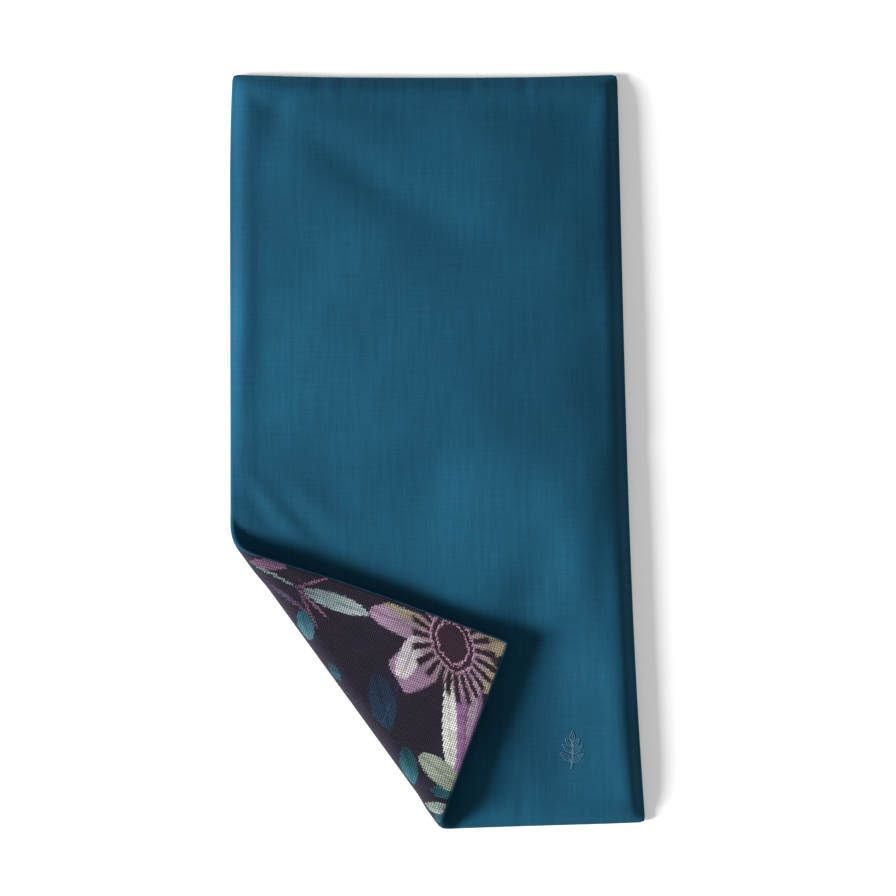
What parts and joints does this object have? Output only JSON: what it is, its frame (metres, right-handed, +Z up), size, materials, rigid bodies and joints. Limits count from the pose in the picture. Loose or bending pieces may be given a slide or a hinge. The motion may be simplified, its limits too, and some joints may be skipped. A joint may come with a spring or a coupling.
{
  "type": "eye pillow",
  "caption": "Flat rectangular eye pillow with a teal sateen front, a botanical print on the back, a loose seed fill and one corner turned back over the front.",
  "frame": {"origin": "on the table, under the middle of the pillow's flat underside", "axes": "+Y along the pillow towards its hand-closed end, +Z up through the front cloth, +X to the right"},
  "size_m": [0.1291, 0.2342, 0.012],
  "materials": {
    "teal_sateen": "cotton sateen, fine and softly lustrous",
    "printed_canvas": "coarse slubby linen-look canvas, botanical print on dark plum",
    "sewing_thread": "spun polyester, matte",
    "embroidery_thread": "rayon, glossy",
    "stabiliser": "non-woven, matte",
    "calico": "unbleached plain weave, matte",
    "bag_thread": "spun polyester, matte",
    "flaxseed": "smooth glossy seed coats",
    "lavender": "dry, matte"
  },
  "bodies": {
    "pillow": {"front_panel": "teal_sateen", "back_panel": "printed_canvas", "cover_seam_thread": "sewing_thread", "closing_stitches": "sewing_thread", "embroidered_sprig": "embroidery_thread", "embroidery_backing": "stabiliser", "inner_bag_front": "calico", "inner_bag_back": "calico", "inner_bag_seam_thread": "bag_thread", "flaxseed_fill": "flaxseed", "lavender_buds": "lavender"},
    "fold_roll": {"front_panel_fold": "teal_sateen", "back_panel_fold": "printed_canvas"},
    "turned_corner": {"front_panel_corner": "teal_sateen", "back_panel_corner": "printed_canvas", "corner_seam_thread": "sewing_thread"}
  },
  "joints": [
    {"name": "roll_unfold", "type": "hinge", "parent": "pillow", "child": "fold_roll", "pos_m": [-0.05641, -0.0336, 0.00196], "axis": [0.5878, -0.809, 0], "range_deg": [0, 90], "deforming": ["front_panel_fold", "back_panel_fold"]},
    {"name": "corner_unfold", "type": "hinge", "parent": "fold_roll", "child": "turned_corner", "pos_m": [-0.05641, -0.0336, 0.00824], "axis": [0.5878, -0.809, 0], "range_deg": [0, 90]}
  ],
  "couplings": [
    {"joint": "roll_unfold", "follows": "corner_unfold", "ratio": 1}
  ]
}
